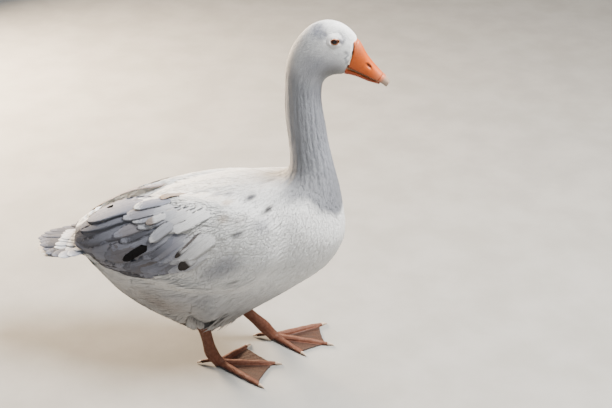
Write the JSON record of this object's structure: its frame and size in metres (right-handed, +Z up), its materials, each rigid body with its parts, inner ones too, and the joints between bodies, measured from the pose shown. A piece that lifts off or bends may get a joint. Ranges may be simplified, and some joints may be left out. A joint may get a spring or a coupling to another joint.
{
  "type": "domestic goose",
  "caption": "Life-size domestic goose standing in mid-step: white body, grey neck and wing markings, orange bill, webbed orange feet.",
  "frame": {"origin": "middle of the bounding box, on the floor", "axes": "+Z up; the bird faces -Y, so its right side is -X"},
  "size_m": [0.2438, 0.6232, 0.6615],
  "materials": {
    "plumage": "soft contour feathers, white with a grey neck",
    "wing_feathers": "white and grey wing feathers",
    "tail_feathers": "grey tail feathers with pale tips",
    "bill": "smooth waxy bill",
    "bill_nail": "pale horn",
    "eye": "wet and glossy",
    "leg_skin": "scaly leg and web skin",
    "claw": "pale horn"
  },
  "bodies": {
    "root": {"head": "plumage", "eye_right": "eye", "eye_left": "eye", "bill_upper": "bill", "bill_nail": "bill_nail", "bill_lower": "bill", "neck_upper": "plumage", "neck_lower": "plumage", "trunk": "plumage", "wing_right": "wing_feathers", "wing_left": "wing_feathers", "tail": "tail_feathers", "thigh_right": "plumage", "thigh_left": "plumage", "shank_right": "leg_skin", "shank_left": "leg_skin", "foot_right": "leg_skin", "foot_left": "leg_skin", "hind_toe_right": "leg_skin", "hind_toe_left": "leg_skin", "claw_right_inner": "claw", "claw_right_middle": "claw", "claw_right_outer": "claw", "claw_right_hind": "claw", "claw_left_inner": "claw", "claw_left_middle": "claw", "claw_left_outer": "claw", "claw_left_hind": "claw"}
  },
  "joints": []
}
